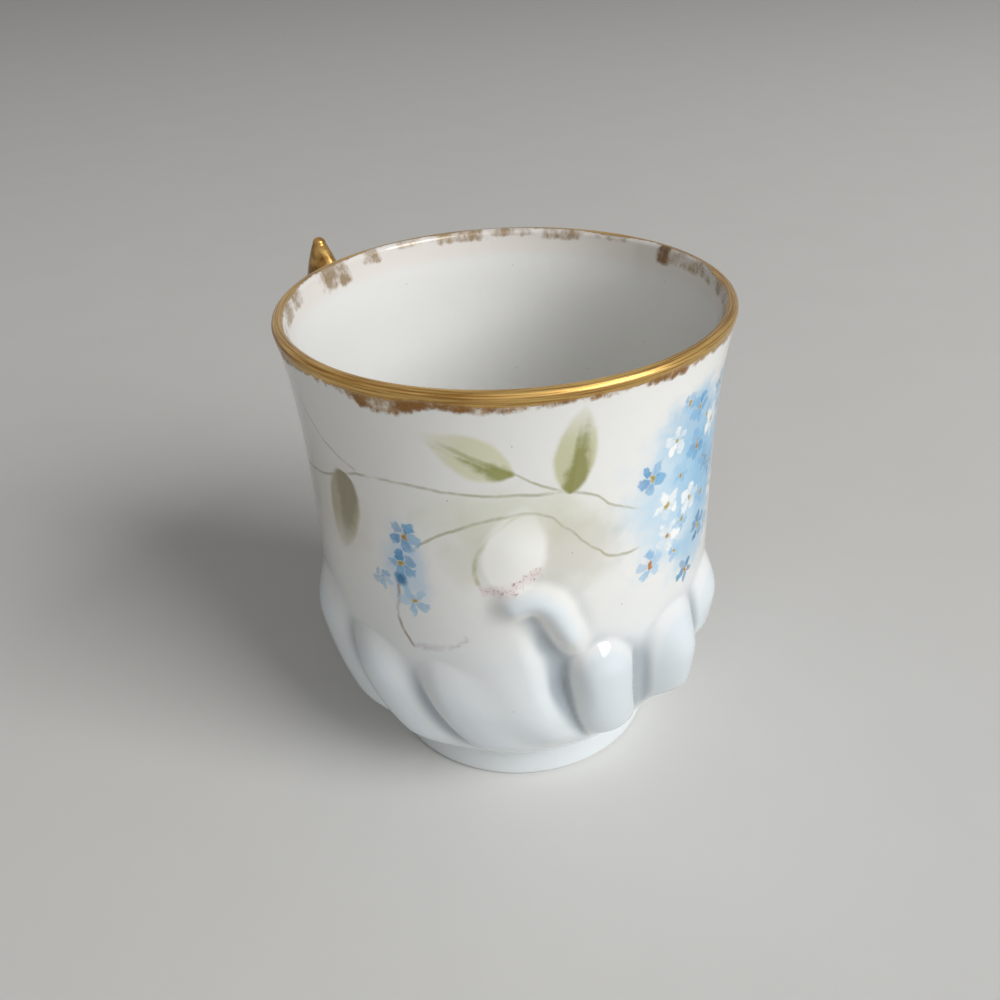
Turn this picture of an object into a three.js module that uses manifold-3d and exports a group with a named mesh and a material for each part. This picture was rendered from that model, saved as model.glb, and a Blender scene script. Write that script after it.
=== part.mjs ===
// A small porcelain coffee cup: a flared wall over a moulded base of swirling ribs and scrolls,
// a foot ring, a gilt lip and a cast scroll handle that is luted to the wall with slip.
// Millimetres, +Z up. The foot ring stands on z = 0 and the handle points along +X.
import * as THREE from "three";
import { mergeVertices } from "three/addons/utils/BufferGeometryUtils.js";
import Module from "manifold-3d";

const wasm = await Module();
wasm.setup();

// Cup body, stacked from the foot ring, the moulded belly and the wall
const FOOT_HEIGHT = 5.0;
const BELLY_HEIGHT = 25.0;
const WALL_HEIGHT = 38.5;
const RIM_RADIUS = 30.5; // outside of the lip
const FLARE = 1.9; // how far the lip stands out beyond the waist
const FLARE_POWER = 4.2; // how late the wall flares out
const BELLY_FULLNESS = 1.7; // exponent of the belly's superellipse
const WALL = 2.2;
const LIP = 1.7; // thickness of the rounded lip
const LIP_TAPER = 8.0; // depth over which the wall thins to the lip
const FLOOR = 4.2; // thickness of the floor
const FLOOR_FULLNESS = 2.3; // exponent of the inside bowl's superellipse

// Foot ring
const FOOT_RADIUS = 20.4; // widest part of the ring
const FOOT_FACE = 1.4; // width of the flat face that stands on the table
const FOOT_ROUND = 0.8; // rounding of the ring's outer edge
const GROOVE_DEPTH = 0.5; // groove between the ring and the belly
const RECESS_DEPTH = 2.2; // hollow under the base, inside the ring
const RECESS_SLOPE = 1.4; // how far the ring's inner side leans in

// Moulded base: a set of ribs and one scroll, repeated round the cup
const RELIEF_REPEATS = 2;
const SCROLL_ANGLE = 145.4; // from the handle to the first scroll, in degrees
const SWIRL = 23.0; // how far the ribs turn near the foot, in degrees
const SWIRL_POWER = 2.3;
const RIB_CROWN = 3.0; // how much lower a rib's top is at its edges than at its crest
const RIB_BLEND = 4; // how crisp the creases are where the ribs flow together
// A rib has its crest in degrees from the scroll, a lean that tells how much of the swirl it follows, the
// widths of its two flanks in degrees, and its swell. Its foot is where it starts above the foot ring and
// the height over which it rises. Its top is where it ends above the belly and the height of the ledge
// there, which a third value above 1 softens. A blunt above 1 hollows the flanks.
const RIBS = [
  { crest: -76, lean: 1.2, flanks: [17, 17], swell: 2.2, foot: [1, 7], top: [3, 8], blunt: 1 },
  { crest: -52, lean: 1.7, flanks: [13, 13.6], swell: 2.1, foot: [0.5, 7], top: [-0.3, 8], blunt: 1.1 },
  { crest: -31, lean: 1.7, flanks: [7.5, 24], swell: 1.6, foot: [0.5, 7], top: [-1.5, 10], blunt: 1 },
  { crest: -12.5, lean: 1.4, flanks: [20, 16], swell: 1.35, foot: [1, 8], top: [5, 20, 2], blunt: 1.4 },
  { crest: 13.6, lean: 0.7, flanks: [9.5, 10.5], swell: 2.5, foot: [2.6, 6.5], top: [1, 5], blunt: 0.55 },
  { crest: 40, lean: 0.8, flanks: [12, 12.5], swell: 3.6, foot: [3.5, 6.5], top: [1, 9], blunt: 1.1 },
  { crest: 61, lean: 1, flanks: [13, 13], swell: 2.4, foot: [8.5, 7], top: [2, 7], blunt: 0.8 },
  { crest: 83, lean: 1, flanks: [9.5, 10], swell: 1.6, foot: [2, 9], top: [-1, 9], blunt: 1.1 },
];
// The scroll is a hooked ridge, and a hollow runs down inside the hook. Both go through these degrees and
// heights above the belly, and fade in and out over shares of their length.
const SCROLL_CREST = [
  [-10.8, 8.2],
  [-7.0, 9.2],
  [-2.6, 9.2],
  [1.0, 7.6],
  [3.4, 4.6],
  [5.4, 2.0],
  [9.0, 0.6],
];
const SCROLL_SWELL = 1.5;
const SCROLL_HALF_WIDTH = 3.4;
const SCROLL_FADES = [0.09, 0.25];
const HOLLOW_LINE = [
  [-7.0, 4.4],
  [-2.6, 3.6],
  [0.4, 0.0],
  [3.2, -6.5],
  [6.5, -12.5],
];
const HOLLOW_DEPTH = 1.2;
const HOLLOW_HALF_WIDTH = 4.0;
const HOLLOW_FADES = [0.3, 0.35];
// A low drop-shaped swelling stands above the hook
const DROP_ANGLE = -8.0;
const DROP_RISE = 16.0; // its middle above the belly
const DROP_HALF_WIDTH = 6.0;
const DROP_HALF_HEIGHT = 7.0;
const DROP_SWELL = 0.35;

// Gilding on the lip, drawn as a band that is thick enough to be a solid
const GILT_OUTSIDE = 2.6; // depth of the band outside, below the lip
const GILT_INSIDE = 2.0; // depth of the band inside
const GILT_FILM = 0.2;
const GILT_CLEARANCE = 0.02;

// Handle, in the plane through the cup's axis
const HANDLE_PROJECTION = 19.7; // from the wall to the outermost point of the centre line
const UPPER_TERMINAL_DROP = 9.5; // upper terminal below the lip
const LOWER_TERMINAL_RISE = 8.5; // lower terminal above the belly
const HANDLE_PEAK_DROP = 7.9; // top of the centre line below the lip
const HANDLE_HALF_THICKNESS = 1.9;
const HANDLE_HALF_WIDTH = 2.5;
const TERMINAL_SPREAD = 1.1; // how much wider the handle is where it meets the wall
const TERMINAL_SHARE = 0.13; // share of the handle's length that each terminal takes
const SPUR_REACH = 14.0; // from the wall to the thumb spur
const SPUR_HEIGHT = 7.2; // from the centre line to the spur's tip, just below the level of the lip
const SPUR_TIP_ROUND = 1.1;
const SPUR_BASE_ROUND = 2.5;
const SPUR_STRETCH = 1.2; // how much longer the spur is than it is wide

// Luting slip between each terminal and the wall
const LUTE_THICKNESS = 0.6;
const LUTE_SPREAD = 0.5; // how far the slip stands out round the terminal
const JOINT_GAP = 0.2;

// Facets
const SEGMENTS = 96;
const RIB_ROWS = 19;
const SCROLL_ROWS = 11;
const WALL_ROWS = 3;
const INSIDE_ROWS = 4;
const BOWL_STEPS = 7;
const TRIM_ROWS = 8;
const LIP_STEPS = 3;
const SCROLL_STEPS = 24;
const HANDLE_STEPS = 36;
const HANDLE_SIDES = 14;
const SPUR_STEPS = 4;

// Levels and radii that follow from the sizes above
const BELLY_TOP = FOOT_HEIGHT + BELLY_HEIGHT;
const CUP_HEIGHT = BELLY_TOP + WALL_HEIGHT;
const LIP_EQUATOR = CUP_HEIGHT - LIP / 2;
const FLOOR_TOP = RECESS_DEPTH + FLOOR;
const WAIST_RADIUS = RIM_RADIUS - FLARE;
const NECK_RADIUS = FOOT_RADIUS - GROOVE_DEPTH;
const RELIEF_TOP = BELLY_TOP + DROP_RISE + DROP_HALF_HEIGHT;
const PERIOD = 360 / RELIEF_REPEATS;
const HANDLE_UPPER = CUP_HEIGHT - UPPER_TERMINAL_DROP;
const HANDLE_LOWER = BELLY_TOP + LOWER_TERMINAL_RISE;
const HANDLE_PEAK = CUP_HEIGHT - HANDLE_PEAK_DROP;

// Finishes
const porcelain = new THREE.MeshStandardMaterial({ color: 0xeef1f1, roughness: 0.12, metalness: 0 });
const firedSlip = new THREE.MeshStandardMaterial({ color: 0xe9ecec, roughness: 0.18, metalness: 0 });
const gold = new THREE.MeshStandardMaterial({ color: 0xb8892f, roughness: 0.28, metalness: 0.9 });
const giltPorcelain = new THREE.MeshStandardMaterial({ color: 0xae8230, roughness: 0.3, metalness: 0.8 });

// Ramps from 0 to 1: one eases in and out, the other starts with a slope and flattens
const clamp01 = (x) => Math.min(1, Math.max(0, x));
const ease = (x) => clamp01(x) ** 2 * (3 - 2 * clamp01(x));
const rise = (x) => Math.sin((Math.PI / 2) * clamp01(x));
const radians = THREE.MathUtils.degToRad;

// Evenly spaced values from low to high, both included
function spread(low, high, count) {
  return Array.from({ length: count }, (_, i) => low + ((high - low) * i) / (count - 1));
}

// Outside of the body without its relief: a superellipse from the neck up to the waist, then a flare.
function outerRadius(z) {
  if (z >= BELLY_TOP) {
    const t = clamp01((z - BELLY_TOP) / (LIP_EQUATOR - BELLY_TOP));
    return WAIST_RADIUS + FLARE * t ** FLARE_POWER;
  }
  const s = clamp01((BELLY_TOP - z) / BELLY_HEIGHT);
  const share = (1 - s ** BELLY_FULLNESS) ** (1 / BELLY_FULLNESS);
  return NECK_RADIUS + (WAIST_RADIUS - NECK_RADIUS) * share;
}

// Inside of the wall: its thickness in from the outside, thinner towards the lip.
function innerRadius(z) {
  const thinned = (WALL - LIP) * ease((z - LIP_EQUATOR + LIP_TAPER) / LIP_TAPER);
  return outerRadius(z) - WALL + thinned;
}

// Inside of the bowl, from the wall down to the middle of the floor: a superellipse, by its angle.
function bowlSection() {
  return spread(0, Math.PI / 2, BOWL_STEPS).map((angle) => {
    const radius = (WAIST_RADIUS - WALL) * Math.cos(angle) ** (2 / FLOOR_FULLNESS);
    const depth = (BELLY_TOP - FLOOR_TOP) * Math.sin(angle) ** (2 / FLOOR_FULLNESS);
    return angle < Math.PI / 2 ? [radius, BELLY_TOP - depth] : [0, FLOOR_TOP];
  });
}

// An angle in degrees, brought into the repeat that has its scroll in the middle.
function wrap(angle) {
  return THREE.MathUtils.euclideanModulo(angle + PERIOD / 2, PERIOD) - PERIOD / 2;
}

// How far the ribs have turned at a height, in degrees.
function swirl(z) {
  return SWIRL * clamp01((BELLY_TOP - z) / BELLY_HEIGHT) ** SWIRL_POWER;
}

// One rib: a cosine across its two flanks, which rises from its foot and ends in a rounded top.
function ribSwell(rib, angle, z) {
  const off = wrap(angle - rib.lean * swirl(z) - rib.crest);
  const share = clamp01(Math.abs(off) / rib.flanks[off < 0 ? 0 : 1]);
  const section = clamp01(Math.cos((Math.PI / 2) * share)) ** rib.blunt;
  const [start, tail] = rib.foot;
  const [end, ledge, melt = 1] = rib.top;
  const top = BELLY_TOP + end - RIB_CROWN * share ** 2;
  const rising = ease((z - FOOT_HEIGHT - start) / tail);
  return rib.swell * section * rise((top - z) / ledge) ** melt * rising;
}

// A line of degrees and heights as points on the unrolled wall, x from the scroll's own angle.
function unrolled(line) {
  const point = ([angle, above]) => new THREE.Vector2(radians(angle) * WAIST_RADIUS, BELLY_TOP + above);
  return new THREE.SplineCurve(line.map(point)).getSpacedPoints(SCROLL_STEPS);
}

// Height, from 0 to 1, of a soft ridge along such a line that fades in and out at its ends.
function ridge(points, halfWidth, [fadeIn, fadeOut], angle, z) {
  const place = new THREE.Vector2(radians(angle) * WAIST_RADIUS, z);
  const heights = points.map((point, i) => {
    const t = i / SCROLL_STEPS;
    const fade = ease(t / fadeIn) * ease((1 - t) / fadeOut);
    return fade * ease(1 - point.distanceTo(place) / halfWidth);
  });
  return Math.max(...heights);
}

const scrollCrest = unrolled(SCROLL_CREST);
const hollowLine = unrolled(HOLLOW_LINE);

function dropSwell(angle, z) {
  const x = radians(angle - DROP_ANGLE) * WAIST_RADIUS;
  const y = z - BELLY_TOP - DROP_RISE;
  return DROP_SWELL * ease(1 - Math.hypot(x / DROP_HALF_WIDTH, y / DROP_HALF_HEIGHT));
}

// How far the relief stands out from the plain body, at an angle in degrees from the handle. The ribs and
// the scroll flow together by the root of their summed powers.
function relief(angle, z) {
  const fromScroll = wrap(angle - SCROLL_ANGLE);
  const swells = RIBS.map((rib) => ribSwell(rib, fromScroll, z));
  swells.push(SCROLL_SWELL * ridge(scrollCrest, SCROLL_HALF_WIDTH, SCROLL_FADES, fromScroll, z));
  const raised = swells.reduce((sum, swell) => sum + swell ** RIB_BLEND, 0) ** (1 / RIB_BLEND);
  const hollow = HOLLOW_DEPTH * ridge(hollowLine, HOLLOW_HALF_WIDTH, HOLLOW_FADES, fromScroll, z);
  return raised - hollow + dropSwell(fromScroll, z);
}

// The lip's section from outside to inside, taken in by an offset, as [radius, z] points.
function lipSection(offset) {
  const outside = [CUP_HEIGHT - GILT_OUTSIDE, LIP_EQUATOR];
  const inside = [LIP_EQUATOR, CUP_HEIGHT - GILT_INSIDE];
  const round = LIP / 2 - offset;
  const arc = Array.from({ length: LIP_STEPS - 1 }, (_, i) => {
    const a = (Math.PI * (i + 1)) / LIP_STEPS;
    return [RIM_RADIUS - LIP / 2 + round * Math.cos(a), LIP_EQUATOR + round * Math.sin(a)];
  });
  return [
    ...outside.map((z) => [outerRadius(z) - offset, z]),
    ...arc,
    ...inside.map((z) => [innerRadius(z) + offset, z]),
  ];
}

// A closed profile of [radius, z] points turned round the cup's axis. A third value that is true marks
// a point of the moulded base: the relief carries it outwards, and its facets turn with the ribs.
function revolve(profile) {
  const outline = profile.map(([r, z]) => new THREE.Vector2(r, z));
  const geometry = new THREE.LatheGeometry(outline, SEGMENTS).rotateX(Math.PI / 2);
  const position = geometry.getAttribute("position");
  for (let i = 0; i < position.count; i++) {
    const [r, z, moulded] = profile[i % profile.length];
    if (!moulded || r === 0) continue;
    const facet = Math.round((Math.atan2(position.getY(i), position.getX(i)) / (2 * Math.PI)) * SEGMENTS);
    const angle = (360 * facet) / SEGMENTS + swirl(z);
    const reach = r + relief(angle, z);
    position.setXY(i, reach * Math.cos(radians(angle)), reach * Math.sin(radians(angle)));
  }
  return geometry;
}

// A closed geometry as a solid for joining and cutting, and back
function solidOf(geometry) {
  const bare = geometry.clone();
  bare.deleteAttribute("normal");
  bare.deleteAttribute("uv");
  const merged = mergeVertices(bare, 1e-4);
  const mesh = new wasm.Mesh({
    numProp: 3,
    vertProperties: merged.getAttribute("position").array,
    triVerts: new Uint32Array(merged.index.array),
  });
  return new wasm.Manifold(mesh);
}

function geometryOf(solid) {
  const mesh = solid.getMesh();
  const geometry = new THREE.BufferGeometry();
  geometry.setAttribute("position", new THREE.BufferAttribute(mesh.vertProperties, 3));
  geometry.setIndex(new THREE.BufferAttribute(mesh.triVerts, 1));
  geometry.computeVertexNormals();
  return geometry;
}

// Cup body: foot ring, moulded base, wall, the lip's core under the gilding, and the inside.
function cupBody() {
  const faceOuter = FOOT_RADIUS - FOOT_ROUND;
  const faceInner = faceOuter - FOOT_FACE;
  const foot = [
    [0, RECESS_DEPTH],
    [faceInner - RECESS_SLOPE, RECESS_DEPTH],
    [faceInner, 0],
    [faceOuter, 0],
    [FOOT_RADIUS, FOOT_ROUND],
    [FOOT_RADIUS, FOOT_HEIGHT - GROOVE_DEPTH],
  ];
  const ribs = spread(FOOT_HEIGHT, BELLY_TOP + SCROLL_HALF_WIDTH, RIB_ROWS);
  const scroll = spread(BELLY_TOP + SCROLL_HALF_WIDTH, RELIEF_TOP, SCROLL_ROWS).slice(1);
  const wall = spread(RELIEF_TOP, CUP_HEIGHT - GILT_OUTSIDE, WALL_ROWS).slice(1);
  const inside = spread(BELLY_TOP, CUP_HEIGHT - GILT_INSIDE, INSIDE_ROWS).slice(1).reverse();
  return revolve([
    ...foot.map(([r, z]) => [r, z, true]),
    ...[...ribs, ...scroll].map((z) => [outerRadius(z), z, true]),
    ...wall.map((z) => [outerRadius(z), z]),
    ...lipSection(GILT_FILM + GILT_CLEARANCE),
    ...inside.map((z) => [innerRadius(z), z]),
    ...bowlSection(),
  ]);
}

// Rim gilding: a thin closed band that caps the lip.
function rimGilding() {
  const skin = lipSection(0);
  return revolve([...skin, ...lipSection(GILT_FILM).reverse(), skin[0]]);
}

// The handle's centre line, from the upper terminal over the peak and round to the lower one.
// Both ends are carried into the wall. The shares shape the curve between its four stations.
function handlePath() {
  const at = (x, z) => new THREE.Vector3(x, 0, z);
  const start = at(outerRadius(HANDLE_UPPER) - WALL, HANDLE_UPPER);
  const peak = at(outerRadius(HANDLE_UPPER) + SPUR_REACH, HANDLE_PEAK);
  const side = at(WAIST_RADIUS + HANDLE_PROJECTION, HANDLE_LOWER + (HANDLE_PEAK - HANDLE_LOWER) * 0.58);
  const end = at(outerRadius(HANDLE_LOWER) - WALL, HANDLE_LOWER);
  const bend = (from, to, fromX, fromZ, toX, toZ) => {
    const span = to.clone().sub(from);
    const leave = at(from.x + span.x * fromX, from.z + span.z * fromZ);
    const arrive = at(to.x - span.x * toX, to.z - span.z * toZ);
    return new THREE.CubicBezierCurve3(from, leave, arrive, to);
  };
  const path = new THREE.CurvePath();
  path.add(bend(start, peak, 0.45, 0.25, 0.4, 0));
  path.add(bend(peak, side, 0.62, 0, 0, 0.55));
  path.add(bend(side, end, 0, 0.6, 0.62, -0.12));
  return path;
}

// A tube of oval section along the centre line, wider towards both ends, with flat end caps.
function handleTube(grow) {
  const path = handlePath();
  const across = new THREE.Vector3(0, 1, 0);
  const positions = [];
  const indices = [];
  for (let i = 0; i <= HANDLE_STEPS; i++) {
    const t = i / HANDLE_STEPS;
    const flare = grow + TERMINAL_SPREAD * (1 - ease(Math.min(t, 1 - t) / TERMINAL_SHARE));
    const centre = path.getPointAt(t);
    const outward = new THREE.Vector3().crossVectors(across, path.getTangentAt(t));
    for (let k = 0; k < HANDLE_SIDES; k++) {
      const a = (2 * Math.PI * k) / HANDLE_SIDES;
      const point = centre.clone();
      point.addScaledVector(outward, Math.cos(a) * (HANDLE_HALF_THICKNESS + flare));
      point.addScaledVector(across, Math.sin(a) * (HANDLE_HALF_WIDTH + flare));
      positions.push(...point.toArray());
    }
  }
  for (let i = 0; i < HANDLE_STEPS; i++) {
    for (let k = 0; k < HANDLE_SIDES; k++) {
      const a = i * HANDLE_SIDES + k;
      const b = i * HANDLE_SIDES + ((k + 1) % HANDLE_SIDES);
      indices.push(a, b, a + HANDLE_SIDES, b, b + HANDLE_SIDES, a + HANDLE_SIDES);
    }
  }
  const last = HANDLE_STEPS * HANDLE_SIDES;
  for (let k = 1; k < HANDLE_SIDES - 1; k++) {
    indices.push(0, k + 1, k, last, last + k, last + k + 1);
  }
  const geometry = new THREE.BufferGeometry();
  geometry.setAttribute("position", new THREE.Float32BufferAttribute(positions, 3));
  geometry.setIndex(indices);
  return geometry;
}

// Thumb spur: a rounded horn on the peak of the handle, stretched a little along it.
function thumbSpur() {
  const tip = Array.from({ length: SPUR_STEPS }, (_, i) => {
    const a = ((Math.PI / 2) * i) / SPUR_STEPS;
    return [SPUR_TIP_ROUND * Math.cos(a), SPUR_HEIGHT - SPUR_TIP_ROUND * (1 - Math.sin(a))];
  });
  const profile = [[0, 0], [SPUR_BASE_ROUND, 0], ...tip, [0, SPUR_HEIGHT]];
  const outline = profile.map(([r, z]) => new THREE.Vector2(r, z));
  const spur = new THREE.LatheGeometry(outline, HANDLE_SIDES).rotateX(Math.PI / 2);
  const stand = outerRadius(HANDLE_UPPER) + SPUR_REACH;
  return spur.scale(SPUR_STRETCH, 1, 1).translate(stand, 0, HANDLE_PEAK);
}

// The plain wall as a closed solid, grown outwards, for trimming what is luted to it.
function wallGrownBy(offset) {
  const low = HANDLE_LOWER - 2 * (HANDLE_HALF_THICKNESS + TERMINAL_SPREAD + LUTE_SPREAD);
  const rows = spread(low, LIP_EQUATOR, TRIM_ROWS).map((z) => [outerRadius(z) + offset, z]);
  return solidOf(revolve([[0, low], ...rows, [0, LIP_EQUATOR]]));
}

// Handle: the tube and its spur in one casting, trimmed to stand off the wall by the slip's thickness.
function handle() {
  const casting = solidOf(handleTube(0)).add(solidOf(thumbSpur()));
  return geometryOf(casting.subtract(wallGrownBy(LUTE_THICKNESS + 2 * JOINT_GAP)));
}

// Lutes: the two pads of slip that fill the space between the terminals and the wall, upper one first.
function lutes() {
  const band = wallGrownBy(JOINT_GAP + LUTE_THICKNESS).subtract(wallGrownBy(JOINT_GAP));
  const pads = solidOf(handleTube(LUTE_SPREAD)).intersect(band).decompose();
  const level = (pad) => pad.boundingBox().min[2];
  return pads.sort((a, b) => level(b) - level(a)).map(geometryOf);
}

const [upperLute, lowerLute] = lutes();
const pieces = [
  ["cup_body", cupBody(), porcelain],
  ["rim_gilding", rimGilding(), gold],
  ["handle", handle(), giltPorcelain],
  ["upper_lute", upperLute, firedSlip],
  ["lower_lute", lowerLute, firedSlip],
];

const cup = new THREE.Group();
pieces.forEach(([name, geometry, material]) => {
  const mesh = new THREE.Mesh(geometry, material);
  mesh.name = name;
  cup.add(mesh);
});

// The cup's axis stands back from the origin, so that the origin is the middle of the whole object.
const reach = new THREE.Box3().setFromObject(cup);
cup.position.x = -(reach.min.x + reach.max.x) / 2;

export default cup;
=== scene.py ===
import bpy
import numpy as np
from mathutils import Matrix


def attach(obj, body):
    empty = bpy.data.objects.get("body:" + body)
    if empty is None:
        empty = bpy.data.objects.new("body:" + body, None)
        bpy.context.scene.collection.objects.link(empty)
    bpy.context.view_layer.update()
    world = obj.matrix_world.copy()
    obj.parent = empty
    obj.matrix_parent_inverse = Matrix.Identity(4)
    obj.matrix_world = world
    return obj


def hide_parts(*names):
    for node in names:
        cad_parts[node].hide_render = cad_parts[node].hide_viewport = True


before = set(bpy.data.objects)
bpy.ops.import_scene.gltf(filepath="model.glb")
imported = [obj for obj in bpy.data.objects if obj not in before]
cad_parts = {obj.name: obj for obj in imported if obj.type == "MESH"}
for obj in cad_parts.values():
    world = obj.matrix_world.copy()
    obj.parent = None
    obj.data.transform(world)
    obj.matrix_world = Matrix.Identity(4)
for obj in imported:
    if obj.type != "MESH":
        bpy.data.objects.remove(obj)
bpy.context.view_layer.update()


# CUP BODY
# One casting of hard white porcelain. The plaster mould gave it the swirling ribs and the scroll of the base,
# and the inside was left plain. It is glazed all over but for the foot ring, which stood bare in the kiln.
MM = 0.001
AXIS_X = -9.424                                 # the cup's axis in the part's frame; all sizes in millimetres
FOOT_HEIGHT, BELLY_HEIGHT, WALL_HEIGHT = 5.0, 25.0, 38.5
RIM_RADIUS, FLARE, FLARE_POWER = 30.5, 1.9, 4.2
BELLY_FULLNESS, FLOOR_FULLNESS = 1.7, 2.3
WALL, LIP, LIP_TAPER, FLOOR = 2.2, 1.7, 8.0, 4.2
FOOT_RADIUS, FOOT_FACE, FOOT_ROUND = 20.4, 1.4, 0.8
GROOVE, RECESS, RECESS_SLOPE = 0.5, 2.2, 1.4
BELLY_TOP = FOOT_HEIGHT + BELLY_HEIGHT
CUP_HEIGHT = BELLY_TOP + WALL_HEIGHT
LIP_EQUATOR = CUP_HEIGHT - LIP / 2
WAIST, NECK = RIM_RADIUS - FLARE, FOOT_RADIUS - GROOVE
REPEAT, SCROLL_ANGLE, SWIRL, SWIRL_POWER = 180.0, 145.4, 23.0, 2.3
RIB_CROWN, RIB_BLEND = 3.0, 4.0
# Each rib: crest, left and right flank in degrees from the scroll; its swell; the start and the length of its
# lower end; the level and the depth of its top; bluntness across; softness of the top; its share of the swirl.
RIBS = [
    (-77.0, 17.0, 15.0, 2.2, 1.0, 7.0, 3.0, 8.0, 1.0, 1, 0.8),
    (-53.0, 12.0, 14.0, 2.3, 0.5, 7.0, -0.3, 8.0, 1.2, 1, 0.95),
    (-30.0, 9.0, 24.0, 1.6, 0.5, 7.0, -1.5, 10.0, 1.0, 1, 0.95),
    (-12.5, 20.0, 16.0, 1.35, 1.0, 8.0, 5.0, 20.0, 1.4, 2, 1.4),
    (13.6, 9.5, 10.5, 2.5, 2.6, 6.5, 1.0, 5.0, 0.55, 1, 0.7),
    (40.0, 12.0, 12.5, 3.6, 3.5, 6.5, 1.0, 9.0, 1.1, 1, 0.8),
    (61.0, 13.0, 13.0, 2.4, 8.5, 7.0, 2.0, 7.0, 0.8, 1, 1.0),
    (83.0, 9.5, 10.0, 1.6, 2.0, 9.0, -1.0, 9.0, 1.1, 1, 1.0),
]
SCROLL_SWELL, SCROLL_HALF, SCROLL_FADES = 1.5, 3.4, (0.09, 0.25)
SCROLL_CREST = [(-10.8, 8.2), (-7.0, 9.2), (-2.6, 9.2), (1.0, 7.6), (3.4, 4.6), (5.4, 2.0), (9.0, 0.6)]
HOLLOW_DEPTH, HOLLOW_HALF, HOLLOW_FADES = 1.2, 4.0, (0.3, 0.35)
HOLLOW_LINE = [(-7.0, 4.4), (-2.6, 3.6), (0.4, 0.0), (3.2, -6.5), (6.5, -12.5)]
# the soft drop above the scroll: degrees from it, level above the belly, half width, half height and swell
DROP_ANGLE, DROP_LEVEL, DROP_HALF_WIDTH, DROP_HALF_HEIGHT, DROP_SWELL = -8.0, 16.0, 6.0, 7.0, 0.35
PAINT_RADIUS = 28.9                             # radius at which angles become millimetres on the painted wall


def ease(x):
    """A smooth step from 0 to 1 while x goes from 0 to 1."""
    x = np.clip(x, 0, 1)
    return x * x * (3 - 2 * x)


def rise(x):
    """A quarter sine: leaves 0 with a slope and comes to rest at 1."""
    return np.sin(np.pi / 2 * np.clip(x, 0, 1))


def outer_radius(z):
    """The plain body: a superellipse from the neck up to the waist, then a flare with a power of the height."""
    up = np.clip((z - BELLY_TOP) / (LIP_EQUATOR - BELLY_TOP), 0, 1)
    down = np.clip((BELLY_TOP - z) / BELLY_HEIGHT, 0, 1)
    belly = NECK + (WAIST - NECK) * (1 - down ** BELLY_FULLNESS) ** (1 / BELLY_FULLNESS)
    return np.where(z >= BELLY_TOP, WAIST + FLARE * up ** FLARE_POWER, belly)


def inner_radius(z):
    """The inside of the wall: its thickness in from the outside, thinning towards the lip."""
    return outer_radius(z) - WALL + (WALL - LIP) * ease((z - LIP_EQUATOR + LIP_TAPER) / LIP_TAPER)


def from_scroll(angle):
    """An angle in degrees, counted from the nearest scroll."""
    return (angle - SCROLL_ANGLE + REPEAT / 2) % REPEAT - REPEAT / 2


def smooth_line(points, count):
    """Evenly spaced points of a cubic through all the given points. Its slope at each of them is half the step
    between the neighbours."""
    p = np.array(points, float)
    p = np.concatenate([p[:1], p, p[-1:]])
    t = np.linspace(0, len(points) - 1, 20 * count)
    i = np.minimum(t.astype(int), len(points) - 2)
    f = (t - i)[:, None]
    p0, p1, p2, p3 = p[i], p[i + 1], p[i + 2], p[i + 3]
    a, b = (p2 - p0) / 2, (p3 - p1) / 2
    q = (2 * p1 - 2 * p2 + a + b) * f ** 3 + (3 * p2 - 3 * p1 - 2 * a - b) * f ** 2 + a * f + p1
    run = np.concatenate([[0], np.cumsum(np.linalg.norm(np.diff(q, axis=0), axis=1))])
    even = np.linspace(0, run[-1], count)
    return np.stack([np.interp(even, run, q[:, k]) for k in range(q.shape[1])], 1)


def ridge(line, half_width, fade_in, fade_out, angle, z):
    """Height from 0 to 1 of a soft ridge along a line on the unrolled wall, fading at both ends of the line."""
    flat = [(np.radians(a) * WAIST, BELLY_TOP + above) for a, above in line]
    points = smooth_line(flat, 61)
    t = np.linspace(0, 1, 61)
    fade = ease(t / fade_in) * ease((1 - t) / fade_out)
    off = np.hypot(np.radians(angle)[..., None] * WAIST - points[:, 0], z[..., None] - points[:, 1])
    return (fade * ease(1 - off / half_width)).max(-1)


def relief(angle, z):
    """How far the moulding stands out: ribs and scroll flow together by the root of their summed powers."""
    near = from_scroll(angle)
    swirl = SWIRL * np.clip((BELLY_TOP - z) / BELLY_HEIGHT, 0, 1) ** SWIRL_POWER
    total = (SCROLL_SWELL * ridge(SCROLL_CREST, SCROLL_HALF, *SCROLL_FADES, near, z)) ** RIB_BLEND
    for crest, left, right, swell, foot, tail, top, ledge, blunt, melt, lean in RIBS:
        off = (near - lean * swirl - crest + REPEAT / 2) % REPEAT - REPEAT / 2
        share = np.clip(np.abs(off) / np.where(off < 0, left, right), 0, 1)
        up = rise((BELLY_TOP + top - RIB_CROWN * share ** 2 - z) / ledge) ** melt
        across = np.clip(np.cos(np.pi / 2 * share), 0, 1) ** blunt
        total += (swell * across * up * ease((z - FOOT_HEIGHT - foot) / tail)) ** RIB_BLEND
    drop = np.hypot(np.radians(near - DROP_ANGLE) * WAIST / DROP_HALF_WIDTH,
                    (z - BELLY_TOP - DROP_LEVEL) / DROP_HALF_HEIGHT)
    hollow = HOLLOW_DEPTH * ridge(HOLLOW_LINE, HOLLOW_HALF, *HOLLOW_FADES, near, z)
    return total ** (1 / RIB_BLEND) - hollow + DROP_SWELL * ease(1 - drop)


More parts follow.
